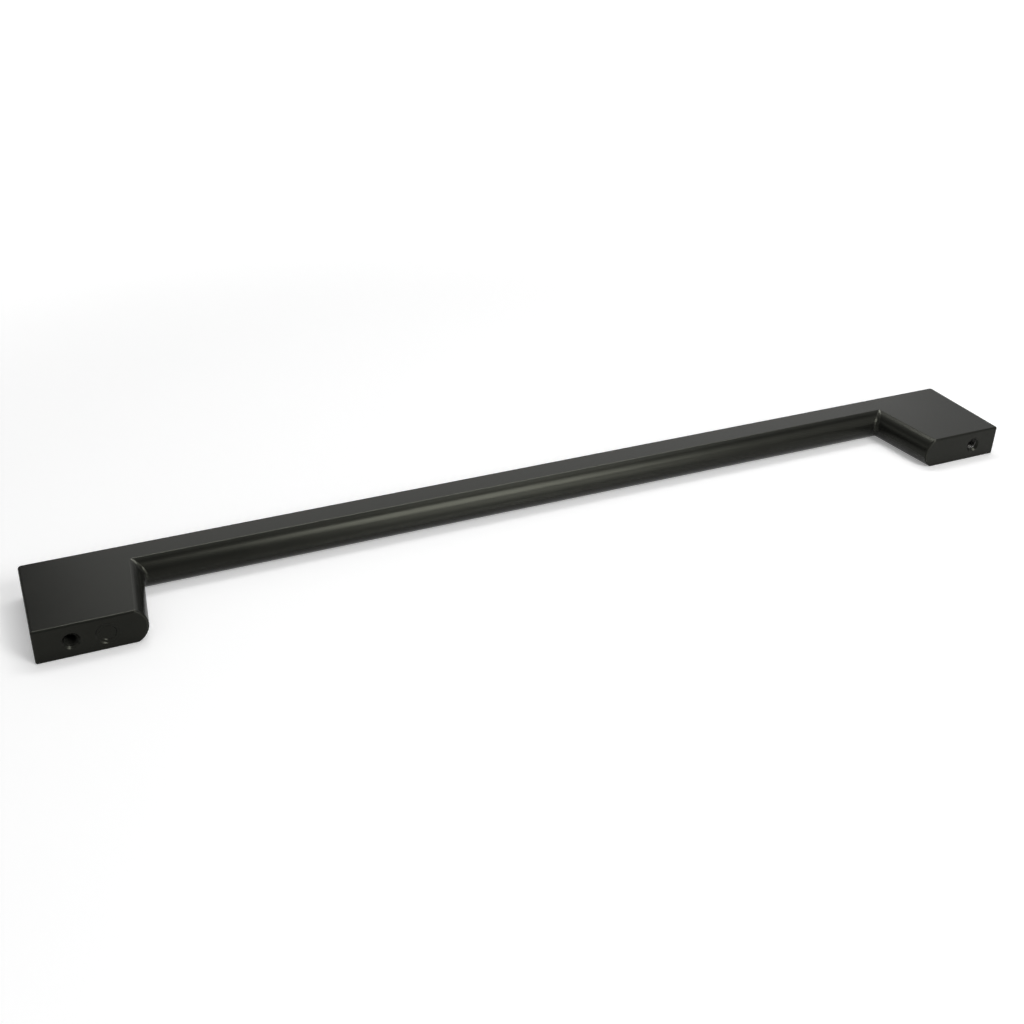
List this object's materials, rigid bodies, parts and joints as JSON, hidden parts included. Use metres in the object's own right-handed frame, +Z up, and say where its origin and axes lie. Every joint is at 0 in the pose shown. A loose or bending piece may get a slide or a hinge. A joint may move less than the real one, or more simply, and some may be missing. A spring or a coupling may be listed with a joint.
{
  "type": "cabinet handle",
  "caption": "Straight cast bar pull with block feet, flat faces and a crowned inner side, tapped from behind for screws through a door or drawer front.",
  "frame": {"origin": "midway between the two screw holes, on the plane of the mounting faces and at half the handle's thickness", "axes": "+X along the bar, +Y out of the mounting faces into the door, +Z up; the bar's outer face looks along -Y"},
  "size_m": [0.3406, 0.0365, 0.011],
  "materials": {
    "black_paint": "satin black paint on die-cast zinc"
  },
  "bodies": {
    "root": {"handle": "black_paint"}
  },
  "joints": []
}
